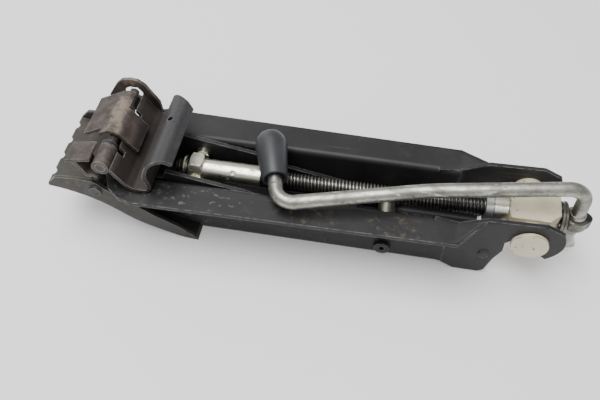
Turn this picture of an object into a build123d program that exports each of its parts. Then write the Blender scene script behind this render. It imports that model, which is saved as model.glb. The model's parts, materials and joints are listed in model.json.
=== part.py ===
from build123d import *
import os
from math import cos, radians, sin

os.makedirs("parts", exist_ok=True)

# Single-arm screw jack, folded. X runs along the post: the foot and the claw are at -X, the crank's eye
# at +X. Y = 0 is the middle of the post, Z is up, and the post's web lies on Z = 0. The origin is at the
# middle of the folded jack's length. Positions along X are counted from the post's flange end, at stand_x.

stand_x = 100.7                  # flange end, from the middle of the folded jack
sheet = 3.0                     # post and arm sheet
thin_sheet = 2.5                # foot and claw sheet
running = 0.05                  # radial clearance of a pin that turns

# post
wall_out = 24.2                 # outside of each wall
wall_in = wall_out - sheet
hook_out = wall_out + 2.3         # the hook plates stand further out
hook_in = hook_out - sheet
flange_top = 51.4
flange_end_half = 43.0          # half width over the flanges at the crank end
flange_wide_half = 46.7         # and near the foot
wide_x = stand_x - 225

# pivots: x and z of each axis
arm_px, arm_pz = stand_x - 48.9, 14.0
foot_px, foot_pz = stand_x - 255, 44.0
claw_px, claw_pz = stand_x - 244, 74.0
trunnion_x, screw_z = stand_x + 48.7, 42.0
nut_x = stand_x - 189
eye_x = trunnion_x + 31.6

# arm
arm_out = 20.0
arm_in = arm_out - sheet

# radii
arm_pin_r = 4.0
foot_pin_r = 3.5
claw_pin_r = 3.5
claw_lug_r = 6.0
journal_r = 10.4                # trunnion journals
journal_head_r = 12.6           # the near journal's head; the far one is smaller
far_head_r = 11.0
screw_r = 6.0
rod_r = 5.0

# foot, claw and grip
foot_half = 34.5
claw_half = 37.5
grip_length = 42.0


def side(x, z, y=0.0):
    """Plane seen from the near side: its x runs along the jack, its y points up, its normal points to -Y."""
    return Plane(origin=(x, y, z), x_dir=(1, 0, 0), z_dir=(0, -1, 0))


def section(x, z=screw_z):
    """Plane across the jack, with its normal along +X."""
    return Plane(origin=(x, 0, z), x_dir=(0, 1, 0), z_dir=(1, 0, 0))


# ---------------------------------------------------------------- post
journal_in_hook = journal_r + 0.1
hook_outline = [(-6, 7), (3, 1.6), (21.6, 1.6), (25.2, 4.4), (28.8, 19), (33.4, 30), (33, 39)]
hook_bearing = [
    (trunnion_x - stand_x + journal_in_hook * cos(radians(a)), screw_z + journal_in_hook * sin(radians(a)))
    for a in (166, 80, -22)]
hook_tip = [(59.5, 29.4), (62.6, 27.2)]
hook_back = [(71.5, 42), (69, 55.4)]
hook_crest = 60.2               # height of the hook plates over the ramps
hook_top = [(56.4, 61.7), (18.5, hook_crest), (0, flange_top), (-6, flange_top)]
joggle = -16.0                  # where the walls start to step out to the hook plates
wall_left = [(-182, 0), (-184, 8), (-213, 17), (-229, 24), (-246, 36.5)]
slot_pitch = 9.3
rivet_x, rivet_z, rivet_r = stand_x + 21.6, 23.4, 2.5
ramp_in = hook_in + 1.2
ramp_end = 17.5
web_end = 20.0                  # the web goes on past the flanges

with BuildPart() as stand:
    with BuildSketch(Plane(origin=(stand_x - 262, 0, 0), x_dir=(0, 1, 0), z_dir=(1, 0, 0))):
        with BuildLine():
            FilletPolyline(
                (-60, flange_top), (-wall_in, flange_top), (-wall_in, sheet), (wall_in, sheet),
                (wall_in, flange_top), (60, flange_top), radius=4)
            offset(amount=sheet, side=Side.RIGHT)
        make_face()
    extrude(amount=262 + web_end)
    # the flanges' outline from above
    with BuildSketch(Plane.XY.offset(40)):
        with BuildLine():
            half = [(stand_x + web_end, 0), (stand_x + web_end, wall_out), (stand_x, wall_out)]
            half += [(stand_x, flange_end_half), (wide_x, flange_wide_half)]
            half += [(wide_x - 9, 44), (stand_x - 244, 36), (stand_x - 249.2, wall_out)]
            half += [(stand_x - 263, wall_out), (stand_x - 263, 0)]
            Polyline(*half)
            mirror(about=Plane.XZ)
        make_face()
    extrude(amount=40, both=True, mode=Mode.INTERSECT)
    # the walls' lower left corner, cut away for the foot
    with BuildSketch(side(stand_x, 0)):
        with BuildLine():
            Polyline((-270, -1), (-182, -1), *wall_left, (-262, 40), (-270, 30), (-270, -1))
        make_face()
    extrude(amount=60, both=True, mode=Mode.SUBTRACT)
    # round ends of the foot lugs
    with BuildSketch(side(foot_px, foot_pz)):
        with Locations((-20, 0)):
            Rectangle(40, 30)
        Circle(6.8, mode=Mode.SUBTRACT)
        with Locations((10, 3)):
            Rectangle(20, 10, mode=Mode.SUBTRACT)
    extrude(amount=60, both=True, mode=Mode.SUBTRACT)
    # past the flanges only the web goes on
    with BuildSketch(section(stand_x, flange_top / 2 + 7)):
        Rectangle(2 * wall_out + 1, flange_top)
    extrude(amount=web_end, mode=Mode.SUBTRACT)
    # the walls step out to the hook plates, and ramps rise from the flanges up to them
    for s in (-1, 1):
        with BuildSketch(section(stand_x + joggle, (flange_top + 6) / 2)):
            with Locations((s * (wall_in + sheet / 2), 0)):
                Rectangle(sheet, flange_top - 6)
        with BuildSketch(section(stand_x + 0.5, (flange_top + 6) / 2)):
            with Locations((s * (hook_in + sheet / 2), 0)):
                Rectangle(sheet, flange_top - 6)
        loft()
        with BuildSketch(side(stand_x, 0, s * (hook_in + sheet / 2))):
            with BuildLine():
                Polyline(*hook_outline, hook_bearing[0])
                ThreePointArc(*hook_bearing)
                Polyline(hook_bearing[2], *hook_tip)
                Spline(hook_tip[1], hook_back[0], hook_back[1])
                Polyline(hook_back[1], *hook_top, hook_outline[0])
            make_face()
        extrude(amount=sheet / 2, both=True)
        with BuildSketch(section(stand_x - 0.5, flange_top - sheet / 2)):
            with Locations((s * (ramp_in + flange_end_half) / 2, 0)):
                Rectangle(flange_end_half - ramp_in, sheet)
        with BuildSketch(section(stand_x + ramp_end, hook_crest - 0.8 - sheet / 2)):
            with Locations((s * (ramp_in + hook_out + 0.4) / 2, 0)):
                Rectangle(hook_out + 0.4 - ramp_in, sheet)
        loft()
    # small slots and a hole in the web
    with BuildSketch(Plane.XY.offset(-1)):
        with Locations(*[(stand_x - 35 + i * slot_pitch, 14.3) for i in range(4)]):
            SlotOverall(5.2, 2.8)
        with Locations((stand_x + 13.5, 14)):
            Circle(2.1)
    extrude(amount=6, mode=Mode.SUBTRACT)
    # pin holes
    with BuildSketch(side(0, 0)):
        with Locations((arm_px, arm_pz)):
            Circle(arm_pin_r)
        with Locations((foot_px, foot_pz)):
            Circle(foot_pin_r)
        with Locations((rivet_x, rivet_z)):
            Circle(rivet_r)
    extrude(amount=60, both=True, mode=Mode.SUBTRACT)
stand.part.label = "stand"
export_step(stand.part, "parts/stand.step")

with BuildPart() as stand_rivets:
    for s in (-1, 1):
        with BuildSketch(side(rivet_x, rivet_z, s * hook_in)):
            Circle(rivet_r)
        extrude(amount=-s * sheet)
        with BuildSketch(side(rivet_x, rivet_z, s * hook_out)):
            Circle(4)
        extrude(amount=-s * 1.4, taper=25)
stand_rivets.part.label = "stand_rivets"
export_step(stand_rivets.part, "parts/stand_rivets.step")

# ---------------------------------------------------------------- arm pivot
with BuildPart() as arm_pivot:
    with BuildSketch(side(arm_px, arm_pz)):
        Circle(arm_pin_r)
    extrude(amount=wall_out, both=True)
    for s in (-1, 1):
        with BuildSketch(side(arm_px, arm_pz, s * wall_out)):
            Circle(6.2)
        extrude(amount=-s * 3.8, taper=8)
    with BuildSketch(side(arm_px, arm_pz)):
        Circle(2)
    extrude(amount=40, both=True, mode=Mode.SUBTRACT)
arm_pivot.part.label = "arm_pivot"
export_step(arm_pivot.part, "parts/arm_pivot.step")

with BuildPart() as arm_pivot_spacer:
    with BuildSketch(side(arm_px, arm_pz)):
        Circle(6.4)
        Circle(arm_pin_r + running, mode=Mode.SUBTRACT)
    extrude(amount=arm_in - 0.2, both=True)
arm_pivot_spacer.part.label = "arm_pivot_spacer"
export_step(arm_pivot_spacer.part, "parts/arm_pivot_spacer.step")

with BuildPart() as pivot_washers:
    for s in (-1, 1):
        with BuildSketch(side(arm_px, arm_pz, s * (arm_out + 0.1))):
            Circle(7.4)
            Circle(arm_pin_r + running, mode=Mode.SUBTRACT)
        extrude(amount=-s * 0.9)
pivot_washers.part.label = "pivot_washers"
export_step(pivot_washers.part, "parts/pivot_washers.step")

# ---------------------------------------------------------------- arm
arm_bottom = [(-52, 5.3), (-186, 5.8), (-213, 17.5), (-229, 25), (-247, 38), (-250, 48)]
arm_neck = [(-250, 74), (-238.2, 72.4), (-240.6, 62), (-233.5, 50.4)]
arm_top = [(-209, 50.4), (-206.5, 57), (-181, 52), (-149, 46), (-125, 36)]
arm_top += [(-86, 27.6), (-72, 24.4), (-50, 23.8)]
web_left, web_right = -206, -72

with BuildPart() as arm:
    with BuildSketch(side(stand_x, 0)):
        with BuildLine():
            Polyline(*arm_bottom, *arm_neck, *arm_top, arm_bottom[0])
        make_face()
        with Locations((claw_px - stand_x, claw_pz)):
            Circle(claw_lug_r)
        with Locations((arm_px - stand_x, arm_pz)):
            Circle(9)
    extrude(amount=arm_out, both=True)
    # the channel's inside, open at the top and at both ends
    with BuildSketch(side(stand_x, 0)):
        with BuildLine():
            Polyline(
                (web_right, -5), (web_right, 8.3), (-185, 8.9), (web_left, 17.8), (web_left, -5),
                (-270, -5), (-270, 90), (0, 90), (0, -5), (web_right, -5))
        make_face()
    extrude(amount=arm_in, both=True, mode=Mode.SUBTRACT)
    with BuildSketch(side(0, 0)):
        with Locations((arm_px, arm_pz)):
            Circle(arm_pin_r + running)
        with Locations((claw_px, claw_pz)):
            Circle(claw_pin_r + running)
        with Locations((nut_x, screw_z)):
            Circle(3.2)
    extrude(amount=60, both=True, mode=Mode.SUBTRACT)
arm.part.label = "arm"
export_step(arm.part, "parts/arm.step")

with BuildPart() as nut_pivots:
    for s in (-1, 1):
        with BuildSketch(side(nut_x, screw_z, s * 12)):
            Circle(5)
        extrude(amount=-s * (arm_in - 12))
        with BuildSketch(side(nut_x, screw_z, s * arm_in)):
            Circle(3.2)
        extrude(amount=-s * sheet)
        with BuildSketch(side(nut_x, screw_z, s * arm_out)):
            Circle(4.2)
        extrude(amount=-s * 0.8, taper=30)
nut_pivots.part.label = "nut_pivots"
export_step(nut_pivots.part, "parts/nut_pivots.step")

# ---------------------------------------------------------------- foot
foot_under = [(-290.5, 42.3), (-277, 39.8), (-262, 35), (-247.5, 27.2), (-229.5, 14.6), (-213, 7.4)]
foot_under += [(-201, 3.2), (-184.5, 0.2)]
cheek_top = [(-186, 3.4), (-200, 14.5), (-216, 23.5), (-231, 35), (-241, 41.5), (-249, 47), (-252.6, 51)]
cheek_top += [(-256, 53), (-269, 53.4), (-284, 52), (-290.5, 45)]
tooth_pitch = 15.5

with BuildPart() as foot:
    with BuildSketch(side(stand_x, 0)):
        with BuildLine():
            Spline(*foot_under, tangents=[(1, -0.12), (1, -0.1)])
            Polyline(foot_under[-1], *cheek_top, foot_under[0])
        make_face()
        with Locations((foot_px - stand_x, foot_pz)):
            Circle(foot_pin_r + running, mode=Mode.SUBTRACT)
    extrude(amount=foot_half, both=True)
    # the inside, above the plate
    with BuildSketch(side(stand_x, 0)):
        with BuildLine():
            inside = [(x, z + thin_sheet * 1.15) for x, z in foot_under]
            Spline(*inside, tangents=[(1, -0.12), (1, -0.1)])
            plate_end = inside[-1][1]
            Polyline(inside[-1], (-170, plate_end), (-170, 80), (-300, 80), (-300, inside[0][1]), inside[0])
        make_face()
    extrude(amount=foot_half - thin_sheet, both=True, mode=Mode.SUBTRACT)
    # toothed edge
    with BuildSketch(Plane.XY.offset(30)):
        with Locations(*[(stand_x - 294.6, (i - 1.5) * tooth_pitch) for i in range(4)]):
            SlotOverall(12, 8)
    extrude(amount=30, mode=Mode.SUBTRACT)
foot.part.label = "foot"
export_step(foot.part, "parts/foot.step")

with BuildPart() as foot_pin:
    with BuildSketch(side(foot_px, foot_pz)):
        Circle(foot_pin_r)
    extrude(amount=foot_half, both=True)
    for s in (-1, 1):
        with BuildSketch(side(foot_px, foot_pz, s * (foot_half + 0.05))):
            Circle(5)
        extrude(amount=-s * 2, taper=20)
        with BuildSketch(side(foot_px, foot_pz, s * foot_half)):
            Circle(foot_pin_r)
        extrude(amount=-s * 0.1)
foot_pin.part.label = "foot_pin"
export_step(foot_pin.part, "parts/foot_pin.step")

with BuildPart() as foot_spacers:
    for s in (-1, 1):
        with BuildSketch(side(foot_px, foot_pz, s * (wall_out + 0.05))):
            Circle(5.2)
            Circle(foot_pin_r + running, mode=Mode.SUBTRACT)
        extrude(amount=-s * (foot_half - thin_sheet - wall_out - 0.15))
foot_spacers.part.label = "foot_spacers"
export_step(foot_spacers.part, "parts/foot_spacers.step")

# ---------------------------------------------------------------- claw: coordinates from its own hinge pin
claw_side = side(claw_px, claw_pz)
claw_line = [(4.6, -0.4), (14.4, -15.6), (19.5, -19.8), (31.3, -19.8), (30.6, -12), (29.4, -5), (31.6, 2.6)]
claw_line += [(36.5, 6.2), (43, 5.2), (46.6, 0.6)]
claw_bends = [6, 5, 2.6, 6, 8, 6, 6, 5]
lug_gap = 1.0                   # each side of an arm wall
ear_outline = [(-20, -19), (-20, -5), (-13, 6), (-8, 10.6), (-2, 12), (4, 11.4), (9, 7.6), (18, -8)]
ear_outline += [(19, -19)]
ear_hole = [(-8, -2), (-6.6, 2.6), (-3, 4.8), (3, 4.8), (6, 1), (7.4, -6)]

with BuildPart() as claw:
    with BuildSketch(claw_side):
        with BuildLine():
            FilletPolyline(*claw_line, radius=claw_bends)
            offset(amount=thin_sheet / 2, side=Side.BOTH)
        make_face()
        Circle(claw_lug_r + 0.35, mode=Mode.SUBTRACT)
    extrude(amount=claw_half, both=True)
    # outline from above: the lip narrows towards its free edge
    with BuildSketch(Plane.XY.offset(40)):
        with BuildLine():
            half = [(claw_px - 10, 0), (claw_px - 10, claw_half), (claw_px + 28, claw_half)]
            half += [(claw_px + 37, 33), (claw_px + 49, 26.5), (claw_px + 50, 0)]
            Polyline(*half)
            mirror(about=Plane.XZ)
        make_face()
    extrude(amount=60, mode=Mode.INTERSECT)
    # slots for the arm's lugs
    with BuildSketch(Plane.XY.offset(45)):
        for s in (-1, 1):
            with Locations((claw_px + 2, s * (arm_out + arm_in) / 2)):
                Rectangle(15, sheet + 2 * lug_gap)
    extrude(amount=40, mode=Mode.SUBTRACT)
    # a round hole in the lip
    with BuildSketch(Plane.XY.offset(60)):
        with Locations((claw_px + 36.5, 9)):
            Circle(2)
    extrude(amount=30, mode=Mode.SUBTRACT)
claw.part.label = "claw"
export_step(claw.part, "parts/claw.step")

housing_top = [(-23.4, 2.4), (-7.3, 5.8)]
housing_leg = [(-18.5, 2.2), (-11.8, -10.4), (-5.4, -10.4)]

with BuildPart() as claw_housing:
    with BuildSketch(side(claw_px, claw_pz, -claw_half)):
        with BuildLine():
            Polyline(*housing_top)
            offset(amount=thin_sheet / 2, side=Side.BOTH)
        make_face()
        with BuildLine():
            Polyline(*housing_leg)
            offset(amount=thin_sheet / 2, side=Side.BOTH)
        make_face()
        Circle(claw_lug_r + 0.35, mode=Mode.SUBTRACT)
    extrude(amount=-16.5)
claw_housing.part.label = "claw_housing"
export_step(claw_housing.part, "parts/claw_housing.step")

with BuildPart() as claw_knuckle:
    with BuildSketch(side(claw_px, claw_pz, -claw_half - 0.5)):
        Circle(claw_lug_r)
        Circle(claw_pin_r, mode=Mode.SUBTRACT)
    extrude(amount=-(claw_half + 0.5 - arm_out - 0.4))
claw_knuckle.part.label = "claw_knuckle"
export_step(claw_knuckle.part, "parts/claw_knuckle.step")

saddle_in = claw_lug_r + 0.4
left_wing, right_wing = 118, 35     # directions of the wings' normals, in degrees from +X

with BuildPart() as claw_saddle:
    with BuildSketch(side(claw_px, claw_pz, -11.5)):
        with BuildLine():
            ends = []
            for a, reach in ((left_wing, 22), (right_wing, 17)):
                n = Vector(cos(radians(a)), sin(radians(a)))
                t = Vector(-n.Y, n.X) if a > 90 else Vector(n.Y, -n.X)
                ends.append((n * saddle_in, n * saddle_in + t * reach))
            top = (saddle_in * cos(radians(79)), saddle_in * sin(radians(79)))
            Line(ends[0][1], ends[0][0])
            ThreePointArc(ends[0][0], top, ends[1][0])
            Line(ends[1][0], ends[1][1])
            offset(amount=thin_sheet, side=Side.LEFT)
        make_face()
    extrude(amount=-41)
    # the near corner of the left wing is stepped, and the right wing stops short of the ear
    with BuildSketch(Plane.XY.offset(50)):
        with Locations((claw_px - 18, -11)):
            Rectangle(18, 9)
        with Locations((claw_px + 16, 25)):
            Rectangle(22, 22)
    extrude(amount=50, mode=Mode.SUBTRACT)
claw_saddle.part.label = "claw_saddle"
export_step(claw_saddle.part, "parts/claw_saddle.step")

with BuildPart() as claw_pin:
    with BuildSketch(claw_side):
        Circle(claw_pin_r)
    extrude(amount=claw_half + 0.5, both=True)
claw_pin.part.label = "claw_pin"
export_step(claw_pin.part, "parts/claw_pin.step")

with BuildPart() as claw_ear:
    with BuildSketch(side(claw_px, claw_pz, claw_half + 0.1)):
        with BuildLine():
            Polyline(*ear_outline, ear_outline[0])
        make_face()
        with BuildLine():
            Polyline(*ear_hole, ear_hole[0])
        make_face(mode=Mode.SUBTRACT)
    extrude(amount=-thin_sheet)
claw_ear.part.label = "claw_ear"
export_step(claw_ear.part, "parts/claw_ear.step")

# ---------------------------------------------------------------- nut
with BuildPart() as nut:
    with BuildSketch(section(nut_x - 5.2)):
        RegularPolygon(radius=9.5, side_count=6, major_radius=False)
        Circle(screw_r + running, mode=Mode.SUBTRACT)
    extrude(amount=10.4)
nut.part.label = "nut"
export_step(nut.part, "parts/nut.step")

sleeve_pin_x = nut_x + 27.5
lean = radians(40)              # the sleeve's pin leans to the near side
sleeve_pin_plane = Plane(origin=(sleeve_pin_x, 0, screw_z), x_dir=(1, 0, 0), z_dir=(0, -sin(lean), cos(lean)))

with BuildPart() as nut_sleeve:
    with BuildSketch(section(nut_x + 5.2)):
        Circle(7.9)
        Circle(screw_r + 0.1, mode=Mode.SUBTRACT)
    extrude(amount=42.3)
    with BuildSketch(sleeve_pin_plane):
        Circle(1.8)
    extrude(amount=10, mode=Mode.SUBTRACT)
nut_sleeve.part.label = "nut_sleeve"
export_step(nut_sleeve.part, "parts/nut_sleeve.step")

with BuildPart() as nut_sleeve_pin:
    with BuildSketch(sleeve_pin_plane.offset(screw_r + 0.2)):
        Circle(1.8)
    extrude(amount=1.6)
nut_sleeve_pin.part.label = "nut_sleeve_pin"
export_step(nut_sleeve_pin.part, "parts/nut_sleeve_pin.step")

# ---------------------------------------------------------------- screw
screw_left = stand_x - 205.2
head_x = trunnion_x + 22.5         # the disc that pushes on the thrust washer
hub_r = 8.0
with BuildPart() as spindle:
    with BuildSketch(section(screw_left)):
        Circle(screw_r)
    extrude(amount=head_x - 1.5 - screw_left)
    with BuildSketch(section(head_x - 1.9)):
        Circle(hub_r)
    extrude(amount=4.5)
    with BuildSketch(section(head_x)):
        Circle(12)
    extrude(amount=2)
    with BuildSketch(Plane.XY.offset(screw_z - 4.5)):
        with Locations((eye_x, 0)):
            Circle(8.8)
        with Locations((eye_x - 5, 0)):
            Rectangle(8, 14)
        with Locations((eye_x, 0)):
            Circle(rod_r + running, mode=Mode.SUBTRACT)
    extrude(amount=9)
    with BuildSketch(side(screw_left + 4, screw_z)):
        Circle(1.5)
    extrude(amount=20, both=True, mode=Mode.SUBTRACT)
spindle.part.label = "spindle"
export_step(spindle.part, "parts/spindle.step")

with BuildPart() as end_washer:
    with BuildSketch(section(screw_left + 6.4)):
        Circle(7.3)
        Circle(screw_r, mode=Mode.SUBTRACT)
    extrude(amount=1.6)
end_washer.part.label = "end_washer"
export_step(end_washer.part, "parts/end_washer.step")

with BuildPart() as end_pin:
    with BuildSketch(side(screw_left + 4, screw_z)):
        Circle(1.5)
    extrude(amount=6.9, both=True)
end_pin.part.label = "end_pin"
export_step(end_pin.part, "parts/end_pin.step")

# ---------------------------------------------------------------- trunnion
block_left, block_right = -15, 19.0
block_half = 15.6
with BuildPart() as trunnion_block:
    with BuildSketch(Plane.XY.offset(screw_z - 12.5)):
        with BuildLine():
            half = [(block_left, 0), (block_left, block_half), (11.5, block_half)]
            half += [(block_right, 8), (block_right, 0)]
            Polyline(*[(trunnion_x + x, y) for x, y in half])
            mirror(about=Plane.XZ)
        make_face()
    extrude(amount=25)
    with BuildSketch(side(trunnion_x, screw_z)):
        Circle(journal_r)
    extrude(amount=27, both=True)
    for s, head_r in ((-1, journal_head_r), (1, far_head_r)):
        with BuildSketch(side(trunnion_x, screw_z, s * (hook_out + 0.3))):
            Circle(head_r)
        extrude(amount=-s * 2.4)
    with BuildSketch(section(trunnion_x - 40)):
        Circle(8.5)
    extrude(amount=80, mode=Mode.SUBTRACT)
trunnion_block.part.label = "trunnion_block"
export_step(trunnion_block.part, "parts/trunnion_block.step")

with BuildPart() as trunnion_bush:
    with BuildSketch(section(trunnion_x + block_left)):
        Circle(8.5)
        Circle(screw_r + running, mode=Mode.SUBTRACT)
    extrude(amount=block_right - block_left - 0.2)
trunnion_bush.part.label = "trunnion_bush"
export_step(trunnion_bush.part, "parts/trunnion_bush.step")

with BuildPart() as collar:
    with BuildSketch(section(trunnion_x - 25)):
        Circle(11)
        Circle(screw_r + 0.02, mode=Mode.SUBTRACT)
    extrude(amount=9.6)
    with BuildSketch(side(trunnion_x - 20, screw_z)):
        Circle(1.6)
    extrude(amount=20, both=True, mode=Mode.SUBTRACT)
collar.part.label = "collar"
export_step(collar.part, "parts/collar.step")

with BuildPart() as front_washer:
    with BuildSketch(section(trunnion_x - 30.6)):
        Circle(11.6)
        Circle(screw_r + 0.02, mode=Mode.SUBTRACT)
    extrude(amount=5.2)
front_washer.part.label = "front_washer"
export_step(front_washer.part, "parts/front_washer.step")

with BuildPart() as collar_pin:
    for s in (-1, 1):
        with BuildSketch(side(trunnion_x - 20, screw_z, s * (screw_r + 0.3))):
            Circle(1.6)
        extrude(amount=-s * 4.4)
collar_pin.part.label = "collar_pin"
export_step(collar_pin.part, "parts/collar_pin.step")

ball_count = 10
race_r = 9.6
with BuildPart() as ball_race:
    for i in range(ball_count):
        a = radians(360 * i / ball_count)
        with Locations((trunnion_x + block_right + 0.85, race_r * cos(a), screw_z + race_r * sin(a))):
            Sphere(0.8)
ball_race.part.label = "ball_race"
export_step(ball_race.part, "parts/ball_race.step")

with BuildPart() as thrust_washer:
    with BuildSketch(section(head_x - 1.8)):
        Circle(11.6)
        Circle(hub_r + 0.02, mode=Mode.SUBTRACT)
    extrude(amount=1.7)
thrust_washer.part.label = "thrust_washer"
export_step(thrust_washer.part, "parts/thrust_washer.step")

# ---------------------------------------------------------------- crank
elbow = (eye_x, 0, 75.5)
mid = (stand_x - 22.7, -13.3, 67.6)
rod_end = (stand_x - 122.3, -36.6, 60.6)
grip_dir = Vector(-0.275, 0.96, 0.04).normalized()
grip_up = (Vector(0, 0, 1) - grip_dir * grip_dir.Z).normalized()
mouth = Vector(*rod_end) + grip_dir * 20.5

with BuildPart() as crank:
    with BuildLine():
        FilletPolyline((eye_x, 0, 26), elbow, mid, rod_end, mouth, radius=[13, 260, 12.5])
    with BuildSketch(Plane.XY.offset(26)):
        with Locations((eye_x, 0)):
            Circle(rod_r)
    sweep()
    with BuildSketch(Plane(origin=mouth - grip_dir * 0.05, z_dir=grip_dir)):
        Circle(4)
    extrude(amount=32)
    # shoulder above the eye
    with BuildSketch(Plane.XY.offset(screw_z + 4.8)):
        with Locations((eye_x, 0)):
            Circle(6.3)
    extrude(amount=3, taper=15)
    # flattened fishtail below the eye
    with BuildSketch(side(eye_x, 0)):
        with BuildLine():
            Polyline((0, 28), (4.2, 28), (4, 24), (8, 13.5), (7, 12), (0, 12))
            mirror(about=Plane.YZ)
        make_face()
    extrude(amount=3, both=True)
crank.part.label = "crank"
export_step(crank.part, "parts/crank.step")

with BuildPart() as crank_ferrule:
    with BuildSketch(Plane(origin=mouth + grip_dir * 0.1, z_dir=grip_dir)):
        Circle(rod_r)
        Circle(4, mode=Mode.SUBTRACT)
    extrude(amount=30)
crank_ferrule.part.label = "crank_ferrule"
export_step(crank_ferrule.part, "parts/crank_ferrule.step")

mouth_r, tip_r = 9.0, 11.4
with BuildPart() as grip:
    with BuildSketch(Plane(origin=mouth + grip_dir * 0.3, x_dir=grip_up, z_dir=grip_up.cross(grip_dir))):
        with BuildLine():
            Polyline((0, 0), (mouth_r, 0), (tip_r, 0.76 * grip_length))
            Spline(
                (tip_r, 0.76 * grip_length), (0.72 * tip_r, 0.94 * grip_length), (0, grip_length),
                tangents=[(0.05, 1), (-1, 0)])
            Line((0, grip_length), (0, 0))
        make_face()
    revolve(axis=Axis(mouth, grip_dir))
    with BuildSketch(Plane(origin=mouth, z_dir=grip_dir)):
        Circle(rod_r + running)
    extrude(amount=33.5, mode=Mode.SUBTRACT)
grip.part.label = "grip"
export_step(grip.part, "parts/grip.step")
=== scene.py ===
# %% [markdown]
# # A folded single-arm screw jack
# The jack is sheet steel that was stamped, folded and dipped in black paint, with a zinc plated screw and crank.
# The CAD model gives every piece its place, so this lesson loads it as a fixed frame and works on the looks:
# a real thread, softened edges, worn paint, rust, zinc and two plastics.

# %% Load the frame
import json
import math
import bpy
import bmesh
from mathutils import Matrix, Vector

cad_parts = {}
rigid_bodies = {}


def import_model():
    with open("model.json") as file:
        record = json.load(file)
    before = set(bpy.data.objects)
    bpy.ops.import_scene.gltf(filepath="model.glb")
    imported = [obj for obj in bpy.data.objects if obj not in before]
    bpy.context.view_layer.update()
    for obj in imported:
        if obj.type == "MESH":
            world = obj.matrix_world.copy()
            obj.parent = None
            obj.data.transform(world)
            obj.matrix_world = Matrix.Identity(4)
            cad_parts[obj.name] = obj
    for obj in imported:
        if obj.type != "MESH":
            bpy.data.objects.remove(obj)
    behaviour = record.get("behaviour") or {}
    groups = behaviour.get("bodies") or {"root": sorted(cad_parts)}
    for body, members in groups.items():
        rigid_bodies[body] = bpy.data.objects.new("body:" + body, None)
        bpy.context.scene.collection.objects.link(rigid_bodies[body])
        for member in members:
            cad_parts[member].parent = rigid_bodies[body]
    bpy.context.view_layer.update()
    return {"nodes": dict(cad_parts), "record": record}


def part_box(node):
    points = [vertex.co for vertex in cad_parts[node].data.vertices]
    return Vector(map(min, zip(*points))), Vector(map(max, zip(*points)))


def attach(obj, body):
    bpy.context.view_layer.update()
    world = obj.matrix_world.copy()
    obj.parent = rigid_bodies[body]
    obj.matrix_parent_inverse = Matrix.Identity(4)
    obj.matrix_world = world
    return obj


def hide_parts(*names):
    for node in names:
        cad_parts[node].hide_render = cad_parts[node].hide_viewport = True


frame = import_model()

nodes = frame["nodes"]
MM = 0.001


# %% [markdown]
# The camera comes first, because every later choice of detail is judged through it. It looks down on the folded
# jack from the near side, a little from the right. Its axes are written as a matrix, which leaves no doubt about
# roll. The lens is long enough to keep the post's edges nearly parallel.

# %% Camera
camera_place = Vector((0.0458, -0.3280, 0.4415))
pitch, yaw = math.radians(51.6), math.radians(10.1)
lens, sensor = 43.2, 36.0


def add_camera():
    camera = bpy.data.cameras.new("camera")
    camera.lens = lens
    camera.sensor_width = sensor
    obj = bpy.data.objects.new("camera", camera)
    bpy.context.scene.collection.objects.link(obj)
    right = Vector((math.cos(yaw), math.sin(yaw), 0))
    flat = math.cos(pitch)
    forward = Vector((-math.sin(yaw) * flat, math.cos(yaw) * flat, -math.sin(pitch)))
    up = right.cross(forward)
    place = Matrix((right, up, -forward)).transposed().to_4x4()
    place.translation = camera_place
    obj.matrix_world = place
    bpy.context.scene.camera = obj
    return obj


camera = add_camera()
print("camera at", [round(c, 3) for c in camera.location])


# %% [markdown]
# A pale floor and three large soft lights make a plain studio. Large area lights give wide, soft highlights on
# paint and zinc. The floor is its own object, outside the jack's bodies.

# %% Studio
def add_light(name, place, size, watts):
    """A soft rectangular light that shines on the middle of the jack."""
    light = bpy.data.lights.new(name, "AREA")
    light.shape = "RECTANGLE"
    light.size, light.size_y = size
    light.energy = watts
    obj = bpy.data.objects.new(name, light)
    bpy.context.scene.collection.objects.link(obj)
    obj.location = place
    obj.rotation_euler = (-Vector(place)).to_track_quat("-Z", "Y").to_euler()
    return obj


def add_floor(half=3.0):
    mesh = bpy.data.meshes.new("floor")
    corners = [(-half, -half, 0), (half, -half, 0), (half, half, 0), (-half, half, 0)]
    mesh.from_pydata(corners, [], [(0, 1, 2, 3)])
    obj = bpy.data.objects.new("floor", mesh)
    bpy.context.scene.collection.objects.link(obj)
    material = bpy.data.materials.new("floor_white")
    material.use_nodes = True
    shader = material.node_tree.nodes["Principled BSDF"]
    shader.inputs["Base Color"].default_value = (0.80, 0.80, 0.805, 1)
    shader.inputs["Roughness"].default_value = 0.7
    shader.inputs["Emission Color"].default_value = (1, 1, 1, 1)
    shader.inputs["Emission Strength"].default_value = 0.2
    mesh.materials.append(material)
    return obj


floor = add_floor()
add_light("top", (-0.25, -0.10, 1.5), (1.5, 0.9), 36)
add_light("front", (0.45, -1.1, 0.9), (1.2, 0.7), 1.0)
add_light("back", (-0.9, 1.1, 0.6), (0.8, 0.5), 4)
world = bpy.data.worlds.new("studio")
world.use_nodes = True
world.node_tree.nodes["Background"].inputs["Color"].default_value = (0.97, 0.98, 1.0, 1)
world.node_tree.nodes["Background"].inputs["Strength"].default_value = 0.5
bpy.context.scene.world = world


# %% [markdown]
# Shader graphs are easier to read as formulas. This small class wraps an output socket, so that `a * b + 1` adds
# the Math nodes by itself. The reflected forms let a plain number stand on the left, as in `1 - mask`. Colours
# and vectors don't go through Math nodes, because those turn a colour grey.

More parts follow.
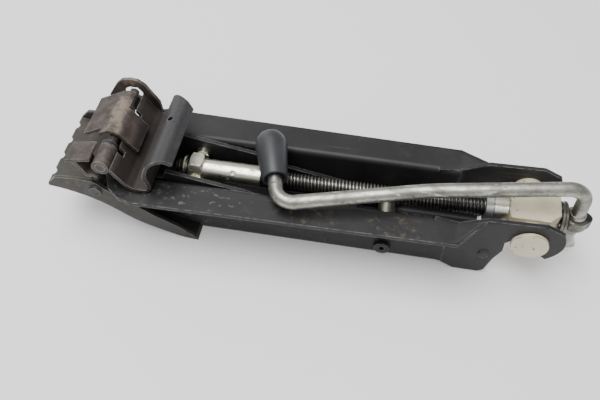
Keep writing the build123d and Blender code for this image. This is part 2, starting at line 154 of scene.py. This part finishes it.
# %% Socket arithmetic
class Field:
    def __init__(self, tree, socket):
        self.tree = tree
        self.socket = socket

    def math(self, operation, *others):
        return self.tree.node("ShaderNodeMath", {"operation": operation}, [self, *others])

    def __add__(self, other):
        return self.math("ADD", other)

    def __radd__(self, other):
        return self.math("ADD", other)

    def __mul__(self, other):
        return self.math("MULTIPLY", other)

    def __rmul__(self, other):
        return self.math("MULTIPLY", other)

    def __sub__(self, other):
        return self.math("SUBTRACT", other)

    def __rsub__(self, other):
        return self.tree.node("ShaderNodeMath", {"operation": "SUBTRACT"}, [other, self])

    def __truediv__(self, other):
        return self.math("DIVIDE", other)

    def step(self, low, high, to_low=0.0, to_high=1.0):
        """Smooth step from to_low at low to to_high at high."""
        settings = {"interpolation_type": "SMOOTHSTEP"}
        return self.tree.node("ShaderNodeMapRange", settings, [self, low, high, to_low, to_high])

    def clip(self):
        return self.tree.node("ShaderNodeClamp", {}, [self, 0.0, 1.0])


print("socket arithmetic ready")


# %% [markdown]
# Every other node comes from one method, which takes the node's type, its settings and the values or links of its
# sockets. A material's tree adds the patterns that the finishes share: noise, scattered points, soft spots, and
# edges. Object coordinates are the jack's own frame here, because every piece's object stands at the origin.

# %% Node makers
class Graph:
    """Adds nodes to a tree; shader trees and geometry trees share it."""

    def __init__(self, tree):
        self.nodes = tree.nodes
        self.links = tree.links

    def node(self, kind, settings, values, output=0):
        made = self.nodes.new(kind)
        for key, value in settings.items():
            setattr(made, key, value)
        pairs = values.items() if isinstance(values, dict) else enumerate(values)
        for key, value in pairs:
            self.feed(made.inputs[key], value)
        return Field(self, made.outputs[output])

    def feed(self, socket, value):
        if isinstance(value, Field):
            self.links.new(value.socket, socket)
        elif value is not None:
            socket.default_value = value


class Tree(Graph):
    """A material's nodes, with Object coordinates ready in metres."""

    def __init__(self, name):
        self.material = bpy.data.materials.new(name)
        self.material.use_nodes = True
        super().__init__(self.material.node_tree)
        self.shader = self.nodes["Principled BSDF"]
        self.place = self.node("ShaderNodeTexCoord", {}, [], "Object")
        self.x = self.node("ShaderNodeSeparateXYZ", {}, [self.place], "X")
        self.y = Field(self, self.x.socket.node.outputs["Y"])
        self.z = Field(self, self.x.socket.node.outputs["Z"])

    def scaled(self, scale):
        """Object coordinates stretched by a vector."""
        return self.node("ShaderNodeVectorMath", {"operation": "MULTIPLY"}, [self.place, scale])

    def noise(self, scale, detail=4.0, rough=0.55, stretch=(1, 1, 1)):
        """Fractal noise, about 0.5 on average; a stretch below 1 draws it out along that axis."""
        values = {"Vector": self.scaled(stretch), "Scale": scale, "Detail": detail, "Roughness": rough}
        return self.node("ShaderNodeTexNoise", {}, values)

    def cells(self, scale):
        """Distance to the nearest of many scattered points."""
        return self.node("ShaderNodeTexVoronoi", {}, {"Vector": self.place, "Scale": scale})

    def mix(self, mask, low, high):
        """Colour mix: low where mask is 0, high where it is 1."""
        made = self.nodes.new("ShaderNodeMix")
        made.data_type = "RGBA"
        self.feed(made.inputs[0], mask)
        for socket, value in ((made.inputs[6], low), (made.inputs[7], high)):    # its colour sockets, A and B
            self.feed(socket, value if isinstance(value, Field) else (*value, 1.0))
        return Field(self, made.outputs[2])

    def edges(self, radius, low=0.02, high=0.25):
        """1 on convex and concave edges: where the normal, rounded over radius, differs from the true one."""
        soft = self.node("ShaderNodeBevel", {"samples": 6}, [radius])
        true = self.node("ShaderNodeNewGeometry", {}, [], "Normal")
        dot = self.node("ShaderNodeVectorMath", {"operation": "DOT_PRODUCT"}, [soft, true], "Value")
        return (1 - dot).step(low, high)

    def spot(self, x, y, size_x, size_y):
        """Soft mask round one place on the jack, seen from above, 1 in its middle."""
        dx = (self.x - x) / size_x
        dy = (self.y - y) / size_y
        return (dx * dx + dy * dy).step(1.0, 0.15)

    def finish(self, colour, rough, metallic=0.0, height=None, depth=0.0002, soft=0.0):
        """Feeds the shader; soft rounds the edges' normals over that radius, height and depth make the bump."""
        self.feed(self.shader.inputs["Base Color"], colour if isinstance(colour, Field) else (*colour, 1.0))
        self.feed(self.shader.inputs["Roughness"], rough)
        self.feed(self.shader.inputs["Metallic"], metallic)
        normal = self.node("ShaderNodeBevel", {"samples": 4}, [soft]) if soft else None
        if height is not None:
            values = {"Strength": 1.0, "Distance": depth, "Height": height}
            if normal:
                values["Normal"] = normal
            normal = self.node("ShaderNodeBump", {}, values)
        if normal:
            self.feed(self.shader.inputs["Normal"], normal)
        return self.material


print("node makers ready")


# %% [markdown]
# The finishes are kept under the names of the record's material slots, so that a piece finds its own by name.

# %% Finishes by slot
finishes = {}


def store(name, material):
    """Stores a finish under its slot name."""
    finishes[name] = material
    print("finish", name, "with", len(material.node_tree.nodes), "nodes")


print("finishes so far", len(finishes))


# %% [markdown]
# Dip paint on folded sheet: nearly black, satin, and a little uneven because it ran before it dried. Years in a
# boot rub it: the sheet's edges turn grey, the near flange has pale scuffs, and brown rust breaks out in a few
# patches. Each of these is one mask, and the colour is mixed mask by mask. Where the flanges ramp up to the hook
# plates, the press left a rounded bend, so the shading normal is rounded over a wider radius there.

# %% Post paint
ramp_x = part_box("stand_rivets")[0][0] - 8 * MM     # where the flanges ramp up to the hook plates


def post_paint():
    t = Tree("post_paint")
    cloud = t.noise(22, 5)
    fine = t.noise(420, 3)
    colour = t.mix(cloud.step(0.35, 0.7), (0.0105, 0.0102, 0.0108), (0.0185, 0.0182, 0.0192))
    dust = t.noise(60, 6, 0.7).step(0.52, 0.75) * 0.35
    colour = t.mix(dust, colour, (0.042, 0.040, 0.038))
    drag = t.noise(160, 3, 0.6, (0.12, 1.2, 1.0)).step(0.62, 0.74)
    near = t.spot(-0.092, -0.034, 0.075, 0.016)
    speck = t.noise(310, 2, 0.5, (0.6, 1, 1)).step(0.6, 0.7)
    scuff = (near * speck * 0.45 + drag * 0.18).clip()
    colour = t.mix(scuff, colour, (0.16, 0.155, 0.15))
    patch = t.spot(0.000, -0.033, 0.030, 0.014) + t.spot(0.062, -0.036, 0.030, 0.012)
    patch = patch + t.spot(-0.125, -0.033, 0.04, 0.016) * 0.7 + t.noise(9, 2).step(0.62, 0.8) * 0.4
    rust = (patch * t.noise(170, 6, 0.75).step(0.50, 0.66)).clip()
    colour = t.mix(rust * 0.7, colour, t.mix(fine.step(0.4, 0.62), (0.060, 0.040, 0.026), (0.14, 0.115, 0.075)))
    edge = t.edges(1.3 * MM) * t.noise(240, 4, 0.6).step(0.32, 0.6)
    colour = t.mix(edge * 0.75, colour, (0.26, 0.26, 0.27))
    rough = 0.39 + cloud * 0.16 + rust * 0.3 + scuff * 0.15 + fine * 0.06
    height = t.noise(75, 4) * 0.6 + fine * 0.08 + rust * 0.3
    ramp = (t.x - ramp_x).math("ABSOLUTE").step(26 * MM, 12 * MM) * t.z.step(16 * MM, 34 * MM)
    t.shader.inputs["Specular IOR Level"].default_value = 0.36
    return t.finish(colour, rough, 0.0, height, 0.00035, ramp * 4.3 * MM + 0.7 * MM)


store("post_paint", post_paint())


# %% [markdown]
# The claw and its hinge take the load and scrape along the car, so most of their paint is gone. What is left is
# brown rust over dark grey, with bright bare metal on the sheet's edges. The lip keeps more paint than the trough.
# The trough's floor, between the hinge's crest and the lip, is coloured nearly black: painted shade for its
# shadow.

# %% Worn claw and foot
pin_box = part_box("claw_pin")
pin_axis = ((pin_box[0][0] + pin_box[1][0]) / 2, (pin_box[0][2] + pin_box[1][2]) / 2)
lip_start = pin_axis[0] + 27 * MM


def rusted(name, paint, rust_low, rust_high, paint_share, lip_x=None, crest=None):
    t = Tree(name)
    broad = t.noise(38, 6, 0.7)
    grain = t.noise(330, 5, 0.7)
    rust_colour = t.mix(t.noise(120, 5, 0.7).step(0.35, 0.68), rust_low, rust_high)
    keep = broad.step(paint_share, paint_share + 0.16)
    if lip_x is not None:
        keep = (keep + t.x.step(lip_x, lip_x + 0.006) * 0.92).clip()
    colour = t.mix(keep, rust_colour, t.mix(grain.step(0.4, 0.7), paint, tuple(1.5 * c for c in paint)))
    pale = t.noise(70, 5, 0.75).step(0.56, 0.74) * (1 - keep * 0.6)
    colour = t.mix(pale * 0.4, colour, (0.13, 0.115, 0.10))
    if crest is not None:
        ridge = (t.x - crest[0]).math("ABSOLUTE").step(9 * MM, 4 * MM)
        ridge = ridge * t.z.step(crest[1] + 4 * MM, crest[1] + 8 * MM) * t.noise(95, 6, 0.75).step(0.42, 0.6)
        colour = t.mix(ridge * 0.8, colour, (0.21, 0.165, 0.125))
        # painted shade: the trough between the crest and the lip is coloured nearly black for the shadow that
        # falls in it
        low = t.x.step(crest[0] + 1 * MM, crest[0] + 5 * MM) * t.z.step(crest[1], crest[1] - 6 * MM)
        low = low * t.x.step(crest[0] + 34 * MM, crest[0] + 30 * MM)
        colour = t.mix(low * 0.88, colour, (0.014, 0.009, 0.0075))
    edge = t.edges(1.5 * MM) * t.noise(200, 4, 0.6).step(0.28, 0.55)
    colour = t.mix(edge * 0.7, colour, (0.30, 0.285, 0.26))
    pits = t.cells(420).step(0.0, 0.25) * (1 - keep)
    rough = 0.62 - keep * 0.2 + grain * 0.12 - edge * 0.2
    height = broad * 0.5 + grain * 0.22 + pits * 0.1
    return t.finish(colour, rough, edge * 0.5, height, 0.0004, 0.6 * MM)


foot_paint, foot_rust = (0.020, 0.019, 0.017), ((0.031, 0.026, 0.019), (0.054, 0.047, 0.035))
claw_paint, claw_rust = (0.020, 0.020, 0.0215), ((0.032, 0.023, 0.019), (0.075, 0.059, 0.050))
store("foot_paint", rusted("foot_paint", foot_paint, *foot_rust, 0.42))
store("claw_rust", rusted("claw_rust", claw_paint, *claw_rust, 0.56, lip_start, pin_axis))


# %% [markdown]
# Bright zinc plate is slightly yellow and cloudy, with fine scratches and rubbed marks along the jack, where its
# pieces slide over each other. Metal needs Metallic 1, and nearly all of its look is then roughness, so the clouds
# and scratches go there.

# %% Metals
def plated(name, light, dark, rough_low, rough_high, marks):
    t = Tree(name)
    cloud = t.noise(95, 5, 0.65)
    brush = t.noise(900, 2, 0.5, (0.06, 1, 1))
    colour = t.mix(cloud.step(0.35, 0.68), light, dark)
    mark = t.noise(210, 4, 0.7, (0.4, 1, 1)).step(0.57, 0.68) * marks
    colour = t.mix(mark, colour, (0.11, 0.10, 0.085))
    bright = t.noise(260, 3, 0.6, (0.22, 1, 1)).step(0.60, 0.70) * marks * 0.8
    colour = t.mix(bright, colour, (0.8, 0.79, 0.76))
    dirt = t.edges(1.0 * MM, 0.03, 0.3) * t.noise(300, 3).step(0.35, 0.6) * 0.35
    colour = t.mix(dirt.clip(), colour, (0.10, 0.09, 0.07))
    rough = cloud.step(0.3, 0.7, rough_low, rough_high) + brush * 0.08 + mark * 0.25
    height = brush * 0.35 + cloud * 0.3 + mark * 0.3
    return t.finish(colour, rough, 1 - mark * 0.6, height, 0.00012, 0.35 * MM)


metals = {
    "zinc": ((0.86, 0.85, 0.74), (0.60, 0.59, 0.47), 0.20, 0.36, 0.5),
    "dull_steel": ((0.44, 0.45, 0.45), (0.33, 0.34, 0.34), 0.34, 0.5, 0.4),
    "crank_zinc": ((0.44, 0.435, 0.39), (0.24, 0.235, 0.20), 0.30, 0.48, 1.0),
    "bronze": ((0.45, 0.33, 0.16), (0.33, 0.24, 0.12), 0.35, 0.5, 0.3),
}
for name, values in metals.items():
    store(name, plated(name, *values))


# %% [markdown]
# The thread is black with old grease, but the nut has polished its crests. The distance from the screw's axis is
# known everywhere, because the objects stand in the jack's own frame, so the polish is a simple function of it.

# %% Greased thread
screw_z = 0.042
crest_r = 6.0 * MM


def greased_thread():
    t = Tree("black_steel")
    dz = t.z - screw_z
    radius = (t.y * t.y + dz * dz).math("SQRT")
    polish = radius.step(crest_r - 0.55 * MM, crest_r - 0.08 * MM)
    patchy = t.noise(55, 4, 0.6).step(0.3, 0.62, 0.25, 1.0)
    colour = t.mix(polish * patchy, (0.006, 0.006, 0.006), (0.20, 0.19, 0.165))
    film = t.noise(260, 4).step(0.5, 0.7)
    colour = t.mix(film * 0.35, colour, (0.05, 0.045, 0.035))
    rough = 0.38 - polish * 0.1 + film * 0.12
    return t.finish(colour, rough, polish * 0.85, t.noise(500, 3), 0.00008)


store("black_steel", greased_thread())


# %% [markdown]
# Two plastics. The trunnion block is a pale, waxy engineering plastic with black specks of grease pressed into it.
# The grip is dark slate, moulded with a very fine texture, and carries a few paler rub marks.

# %% Plastics
def ivory_plastic():
    t = Tree("ivory")
    cloud = t.noise(45, 4, 0.6)
    colour = t.mix(cloud.step(0.35, 0.7), (0.66, 0.60, 0.44), (0.53, 0.475, 0.33))
    specks = (1 - t.cells(230).step(0.14, 0.26)) * t.noise(48, 3).step(0.46, 0.54)
    smear = t.noise(120, 5, 0.7, (0.35, 1, 1)).step(0.60, 0.76) * 0.5
    dirt = t.edges(1.6 * MM) * t.noise(180, 3).step(0.4, 0.6) * 0.6
    colour = t.mix((specks + dirt).clip(), colour, (0.05, 0.045, 0.04))
    colour = t.mix(smear, colour, (0.33, 0.30, 0.24))
    height = t.noise(140, 4) * 0.5 + specks * 0.3
    return t.finish(colour, 0.42 + smear * 0.2, 0.0, height, 0.0002, 0.8 * MM)


def grip_plastic():
    t = Tree("grip_plastic")
    grain = t.noise(900, 2, 0.5)
    rub = t.noise(65, 5, 0.7).step(0.56, 0.75)
    colour = t.mix(t.noise(28, 3).step(0.3, 0.7), (0.021, 0.0222, 0.0245), (0.032, 0.0337, 0.037))
    colour = t.mix(rub * 0.4, colour, (0.068, 0.070, 0.074))
    return t.finish(colour, 0.46 + rub * 0.12, 0.0, grain * 0.5 + t.noise(120, 3) * 0.5, 0.00010, 0.6 * MM)


store("ivory", ivory_plastic())
store("grip_plastic", grip_plastic())


# %% [markdown]
# Some pieces need more shape than the CAD gives: a real thread, chamfers, a hammered end. Most of them are lofts,
# rings of points joined by faces, so one helper makes them all. A loft either ends in two caps or runs back into
# its first ring, as the wall of a tube does.

# %% Loft helper
def add_object(name, mesh, finish):
    """An object at the origin with one finish, smooth but for its sharp edges."""
    mesh.materials.clear()
    mesh.materials.append(finishes[finish])
    mesh.shade_smooth()
    mesh.set_sharp_from_angle(angle=math.radians(32))
    obj = bpy.data.objects.new(name, mesh)
    bpy.context.scene.collection.objects.link(obj)
    return obj


def loft(rings, tube=False):
    """Mesh through rings of points; closed by two caps, or by joining the last ring to the first."""
    count = len(rings[0])
    points = [p for ring in rings for p in ring]
    faces = []
    for i in range(len(rings) if tube else len(rings) - 1):
        a, b = i * count, (i + 1) % len(rings) * count
        for k in range(count):
            n = (k + 1) % count
            faces.append((a + k, a + n, b + n, b + k))
    if not tube:
        faces.append(tuple(reversed(range(count))))
        faces.append(tuple(range(len(points) - count, len(points))))
    bm = bmesh.new()
    made = [bm.verts.new(p) for p in points]
    for face in faces:
        bm.faces.new([made[k] for k in face])
    bmesh.ops.remove_doubles(bm, verts=bm.verts, dist=1e-6)
    bmesh.ops.recalc_face_normals(bm, faces=bm.faces)
    mesh = bpy.data.meshes.new("loft")
    bm.to_mesh(mesh)
    bm.free()
    return mesh


def ring(centre, u, v, radius, count=64):
    """Points round centre; radius is a number, or a function of the angle from u."""
    out = []
    for k in range(count):
        a = 2 * math.pi * k / count
        r = radius(a) if callable(radius) else radius
        out.append(centre + (u * math.cos(a) + v * math.sin(a)) * r)
    return out


def joined(meshes):
    """One mesh from several."""
    bm = bmesh.new()
    for mesh in meshes:
        bm.from_mesh(mesh)
    out = bpy.data.meshes.new("joined")
    bm.to_mesh(out)
    bm.free()
    return out


X, Y, Z = Vector((1, 0, 0)), Vector((0, 1, 0)), Vector((0, 0, 1))
print("loft helper ready")


# %% [markdown]
# A screw thread is a rule: the radius depends only on how far along the screw a point is, and on its angle. That
# makes it a good case for Geometry Nodes. The tree bends a plain cylinder into the thread with the same socket
# arithmetic as the shaders. The sizes are named inputs, and the result is baked to a plain mesh.

# %% Geometry recipes
class Recipe(Graph):
    """A Geometry Nodes tree with named inputs."""

    def __init__(self, name, inputs):
        self.tree = bpy.data.node_groups.new(name, "GeometryNodeTree")
        super().__init__(self.tree)
        self.ids = {}
        for label, kind in inputs.items():
            socket = self.tree.interface.new_socket(name=label, in_out="INPUT", socket_type="NodeSocket" + kind)
            self.ids[label] = socket.identifier
        self.tree.interface.new_socket(name="Geometry", in_out="OUTPUT", socket_type="NodeSocketGeometry")
        self.start = self.nodes.new("NodeGroupInput")

    def given(self, label):
        return Field(self, self.start.outputs[label])

    def close(self, geometry):
        """Every recipe ends in Realize Instances and Set Material."""
        real = self.node("GeometryNodeRealizeInstances", {}, [geometry])
        painted = self.node("GeometryNodeSetMaterial", {}, {"Geometry": real, "Material": self.given("Material")})
        out = self.nodes.new("NodeGroupOutput")
        self.links.new(painted.socket, out.inputs["Geometry"])

    def bake(self, name, values):
        """Runs the recipe with these inputs and returns the plain mesh."""
        obj = bpy.data.objects.new(name, bpy.data.meshes.new(name))
        bpy.context.scene.collection.objects.link(obj)
        modifier = obj.modifiers.new("recipe", "NODES")
        modifier.node_group = self.tree
        for label, value in values.items():
            modifier[self.ids[label]] = value
        shown = obj.evaluated_get(bpy.context.evaluated_depsgraph_get())
        mesh = bpy.data.meshes.new_from_object(shown)
        bpy.data.objects.remove(obj)
        return mesh


def thread_recipe():
    """Bends a plain cylinder into a thread that runs along X."""
    inputs = {"Start": "Float", "Length": "Float", "Height": "Float", "Crest": "Float", "Depth": "Float",
              "Pitch": "Float", "Around": "Int", "Steps": "Int", "Material": "Material"}
    r = Recipe("screw_thread", inputs)
    values = {"Vertices": r.given("Around"), "Side Segments": r.given("Steps"), "Depth": r.given("Length")}
    rod = r.node("GeometryNodeMeshCylinder", {}, values)
    place = r.node("GeometryNodeInputPosition", {}, [])
    px = r.node("ShaderNodeSeparateXYZ", {}, [place], "X")
    py = Field(r, px.socket.node.outputs["Y"])
    pz = Field(r, px.socket.node.outputs["Z"])
    along = pz + r.given("Length") / 2
    angle = py.math("ARCTAN2", px)
    phase = (along / r.given("Pitch") - angle / (2 * math.pi)).math("FRACT")
    ridge = (phase * 2 - 1).math("ABSOLUTE").step(0.26, 0.66)
    radius = r.given("Crest") - (1 - ridge) * r.given("Depth")
    lead_in = r.given("Crest") - 1.4 * MM + along * 0.9
    radius = radius.math("MINIMUM", lead_in)
    side = radius * angle.math("COSINE")
    height = r.given("Height") + radius * angle.math("SINE")
    moved = r.node("ShaderNodeCombineXYZ", {}, [r.given("Start") + along, side, height])
    r.close(r.node("GeometryNodeSetPosition", {}, {"Geometry": rod, "Position": moved}))
    return r


print("recipe helper ready")


# %% [markdown]
# The screw's crests are 12 mm across and it climbs 2.5 mm a turn. Behind the trunnion it carries a pressed disc
# and an eye for the crank. The eye is a short tube, drawn out to a blunt point where it was forged.

# %% Screw
screw_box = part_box("spindle")
washer_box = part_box("front_washer")
eye_x = 0.1810                                      # the crank turns in the eye
screw_start = screw_box[0][0]
smooth_start = washer_box[0][0] + 1 * MM
thread_length = smooth_start - screw_start
thread_pitch = 2.5 * MM
axis = Vector((0, 0, screw_z))


def lathe_x(profile, count=64):
    """Solid of revolution about the screw's axis, from (x, radius) pairs."""
    return loft([ring(axis + X * x, Y, Z, r, count) for x, r in profile])


def screw_eye():
    """A short upright tube, round but for a point at the end away from the screw."""
    def pointed(a):
        a = (a + math.pi) % (2 * math.pi) - math.pi
        return (8.7 + 2.3 * math.exp(-(a / 0.42) ** 2)) * MM

    rows = [(-4.5, -0.9), (-3.9, -0.2), (-2.4, 0.0), (2.4, 0.0), (3.9, -0.2), (4.5, -0.9)]
    outer = [ring(Vector((eye_x, 0, screw_z + z * MM)), X, Y, lambda a, d=d: pointed(a) + d * MM)
             for z, d in rows]
    bore = 5.1 * MM
    inner_rows = [(4.5, 0.9), (3.9, 0.2), (3.2, 0.0), (-3.2, 0.0), (-3.9, 0.2), (-4.5, 0.9)]
    inner = [ring(Vector((eye_x, 0, screw_z + z * MM)), X, Y, bore + d * MM) for z, d in inner_rows]
    return loft(outer + inner, tube=True)


def screw_mesh():
    steps = round(thread_length / thread_pitch * 9)
    values = {"Start": screw_start, "Length": thread_length, "Height": screw_z, "Crest": crest_r,
              "Depth": 1.05 * MM, "Pitch": thread_pitch, "Around": 36, "Steps": steps,
              "Material": finishes["black_steel"]}
    thread = thread_recipe().bake("thread", values)
    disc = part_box("thrust_washer")[1][0] + 0.1 * MM
    head = [(smooth_start - 0.5 * MM, crest_r), (disc - 1.9 * MM, crest_r), (disc - 1.8 * MM, 7.9 * MM),
            (disc, 7.9 * MM), (disc, 11.4 * MM), (disc + 0.5 * MM, 12 * MM), (disc + 1.6 * MM, 12 * MM),
            (disc + 2.0 * MM, 11.5 * MM), (disc + 2.05 * MM, 7 * MM), (eye_x - 5.6 * MM, 5.4 * MM)]
    return joined([thread, lathe_x(head), screw_eye()])


screw = add_object("screw", screw_mesh(), "black_steel")
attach(screw, "spindle")
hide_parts("spindle")
print("screw triangles", sum(len(p.vertices) - 2 for p in screw.data.polygons))


# %% [markdown]
# Ten steel balls between the block and the disc carry the jack's load. Equal pieces on equal steps are what
# instances are for: one ball, placed on every point of a circle. The export drops instances, so the recipe makes
# them real at its end.

# %% Ball ring
def ball_recipe():
    inputs = {"Count": "Int", "Race Radius": "Float", "Ball Radius": "Float", "Centre": "Vector",
              "Material": "Material"}
    r = Recipe("ball_ring", inputs)
    values = {"Vertices": r.given("Count"), "Radius": r.given("Race Radius")}
    circle = r.node("GeometryNodeMeshCircle", {}, values)
    values = {"Segments": 16, "Rings": 10, "Radius": r.given("Ball Radius")}
    ball = r.node("GeometryNodeMeshUVSphere", {}, values)
    balls = r.node("GeometryNodeInstanceOnPoints", {}, {"Points": circle, "Instance": ball})
    upright = {"Geometry": balls, "Translation": r.given("Centre"), "Rotation": (0.0, math.pi / 2, 0.0)}
    r.close(r.node("GeometryNodeTransform", {}, upright))
    return r


race_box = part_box("ball_race")
race_centre = tuple((low + high) / 2 for low, high in zip(*race_box))
ball_r = (race_box[1][0] - race_box[0][0]) / 2
race_values = {"Count": 10, "Race Radius": (race_box[1][1] - race_box[0][1]) / 2 - ball_r, "Ball Radius": ball_r,
               "Centre": race_centre, "Material": finishes["dull_steel"]}
balls = add_object("balls", ball_recipe().bake("balls", race_values), "dull_steel")
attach(balls, "spindle")
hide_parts("ball_race")
print("balls at", [round(c, 4) for c in race_centre], "radius", ball_r)


# %% [markdown]
# The nut is a hexagon whose corners were turned to a chamfer at both ends, which leaves the curved edge that every
# real nut shows. In ring form that is the smaller of two radii: the hexagon's at that angle, and the cone's.

# %% Nut
nut_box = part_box("nut")
across = 10.2 * MM


def nut_mesh():
    """Rings of the hexagon, each no wider than the chamfer's cone is there, round a threaded bore's lead-in."""
    def hexagon(a, limit):
        corner = (a + math.pi / 6) % (math.pi / 3) - math.pi / 6
        return min(across / math.cos(math.pi / 6 - abs(corner)), limit)

    left, right = nut_box[0][0], nut_box[1][0]
    rows = [(left + k * 0.22 * MM, 9.9 * MM + k * 0.31 * MM) for k in range(7)]
    rows += [(left + right - x, limit) for x, limit in reversed(rows)]
    outer = [ring(axis + X * x, Y, Z, lambda a, m=limit: hexagon(a, m), 144) for x, limit in rows]
    bore = [(right, 6.9 * MM), (right - 0.9 * MM, 6.06 * MM), (left + 0.9 * MM, 6.06 * MM), (left, 6.9 * MM)]
    inner = [ring(axis + X * x, Y, Z, r, 144) for x, r in bore]
    return loft(outer + inner, tube=True)


nut = add_object("hex_nut", nut_mesh(), "zinc")
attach(nut, "nut")
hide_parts("nut")
print("nut from", round(nut_box[0][0], 4), "to", round(nut_box[1][0], 4))


# %% [markdown]
# A washer stops the nut at the screw's far end. It is turned, like the screw, with its rim broken by a chamfer.
# The nut's sleeve is held by a hollow pin whose rim was hammered into a low ring, and it leans to the near side.

# %% End washer and sleeve pin
end_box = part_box("end_washer")
near, far = end_box[0][0], end_box[1][0]
rim = 8.7 * MM
end_rows = [(near, crest_r), (near, rim - 0.4 * MM), (near + 0.3 * MM, rim), (far - 0.3 * MM, rim),
            (far, rim - 0.4 * MM), (far, crest_r)]
end_washer = add_object("screw_end_washer", lathe_x(end_rows), "zinc")
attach(end_washer, "spindle")
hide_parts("end_washer")


def peened_pin():
    """The pin, from pairs of distance from the screw's axis and radius, in mm."""
    lean = math.radians(40)
    out = Vector((0, -math.sin(lean), math.cos(lean)))
    low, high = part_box("nut_sleeve_pin")
    foot = Vector(((low[0] + high[0]) / 2, 0, screw_z))
    rows = [(6.3, 0.01), (6.3, 1.75), (7.75, 1.75), (7.75, 2.5), (8.15, 2.45), (8.35, 2.0), (8.3, 1.5),
            (8.0, 1.15), (7.2, 1.0), (7.2, 0.01)]
    return loft([ring(foot + out * a * MM, X, out.cross(X), r * MM, 32) for a, r in rows])


pin = add_object("sleeve_pin", peened_pin(), "zinc")
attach(pin, "nut")
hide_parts("nut_sleeve_pin")
print("end washer", round(2 * rim / MM, 1), "mm across, pin at", [round(c, 4) for c in pin.data.vertices[0].co])


# %% [markdown]
# The crank is one round rod. Its lower end is hammered flat to a fishtail that can't slip back through the eye,
# and it is bent three times on its way to the grip. The path is a polyline whose corners become arcs, and each
# ring along it is an ellipse, so the same loft covers the round rod and the flat tail.

# %% Crank
post_end = 0.1007                                   # where the post's flanges end
mid = Vector((post_end - 0.0227, -0.0133, 0.0676))
rod_end = Vector((post_end - 0.1223, -0.0366, 0.0606))
grip_dir = Vector((-0.275, 0.96, 0.04)).normalized()
mouth = rod_end + grip_dir * 20.5 * MM


def rounded_path(points, radii, steps=14):
    """The polyline through points with each inner corner turned into an arc."""
    out = [points[0]]
    for before, corner, after, radius in zip(points, points[1:], points[2:], radii):
        a, b = (before - corner).normalized(), (after - corner).normalized()
        half = a.angle(b) / 2
        centre = corner + (a + b).normalized() * (radius / math.sin(half))
        first, last = corner + a * (radius / math.tan(half)), corner + b * (radius / math.tan(half))
        for k in range(steps + 1):
            arm = (first - centre).slerp(last - centre, k / steps)
            out.append(centre + arm.normalized() * radius)
    return out + [points[-1]]


def crank_mesh():
    # the fishtail and what is above it: height, half width and half thickness, in mm
    tail = [(12.0, 7.0, 2.3), (12.6, 7.7, 2.8), (13.6, 8.0, 3.0), (17.0, 6.9, 3.0), (21.0, 5.4, 3.0),
            (25.0, 4.5, 3.3), (28.0, 4.5, 4.1), (31.0, 4.9, 4.8), (34.0, 5.0, 5.0)]
    rings = []
    for z, half_x, half_y in tail:
        centre = Vector((eye_x, 0, z * MM))
        rings.append([centre + X * (half_x * MM * math.cos(a)) + Y * (half_y * MM * math.sin(a))
                      for a in [2 * math.pi * k / 48 for k in range(48)]])
    rod = 5 * MM
    corners = [Vector((eye_x, 0, 36 * MM)), Vector((eye_x, 0, 75.5 * MM)), mid, rod_end, mouth]
    path = rounded_path(corners, [13 * MM, 260 * MM, 12.5 * MM])
    u, ahead = X.copy(), Z.copy()
    for k, point in enumerate(path):
        step = (path[min(k + 1, len(path) - 1)] - path[max(k - 1, 0)]).normalized()
        u = ahead.rotation_difference(step) @ u
        ahead = step
        rings.append(ring(point, u, ahead.cross(u), rod, 48))
    for reach, radius in ((0.02, 4.0), (31.4, 4.0), (32.0, 3.4)):
        rings.append(ring(mouth + grip_dir * reach * MM, u, ahead.cross(u), radius * MM, 48))
    collar = [(4.9, 4.6), (4.9, 6.2), (6.4, 6.1), (7.8, 5.3), (7.9, 4.6)]
    shoulder = loft([ring(Vector((eye_x, 0, screw_z + z * MM)), X, Y, r * MM, 48) for z, r in collar])
    return joined([loft(rings), shoulder])


crank = add_object("crank_rod", crank_mesh(), "crank_zinc")
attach(crank, "crank")
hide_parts("crank")
print("crank with", len(crank.data.polygons), "faces reaches the grip at", [round(c, 4) for c in mouth])


# %% [markdown]
# The grip widens towards its far end and closes in a full dome. A stepped recess round the rod gives the dark
# ring at its mouth.

# %% Grip
def grip_mesh():
    """The grip, from pairs of distance from its mouth and radius, in mm."""
    length, wide = 42.0, 11.4
    profile = [(33.5, 0.01), (33.5, 5.06), (3.2, 5.06), (3.0, 6.5), (0.9, 6.8), (0.45, 7.2), (0.35, 8.0),
               (0.55, 8.6), (1.3, 9.0), (0.40 * length, 10.3), (0.68 * length, wide)]
    for k in range(1, 15):
        t = math.pi / 2 * k / 14
        profile.append((length * (0.70 + 0.30 * math.sin(t) ** 0.92), max(wide * math.cos(t) ** 0.72, 0.01)))
    u = grip_dir.orthogonal().normalized()
    return loft([ring(mouth + grip_dir * a * MM, u, grip_dir.cross(u), r * MM, 72) for a, r in profile])


grip = add_object("hand_grip", grip_mesh(), "grip_plastic")
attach(grip, "grip")
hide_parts("grip")
print("grip faces", len(grip.data.polygons))


# %% [markdown]
# Every CAD node takes the finish that the record names for it. A material slot is the only thing that is set, so
# the shape stays exactly what the CAD says.

# %% Dress the CAD nodes
slots = {row["node"]: row["material_slot"] for row in frame["record"]["subparts"]}


def dress(obj, finish):
    obj.data.materials.clear()
    obj.data.materials.append(finishes[finish])


for name, obj in nodes.items():
    dress(obj, slots[name])
print("dressed", len(slots))
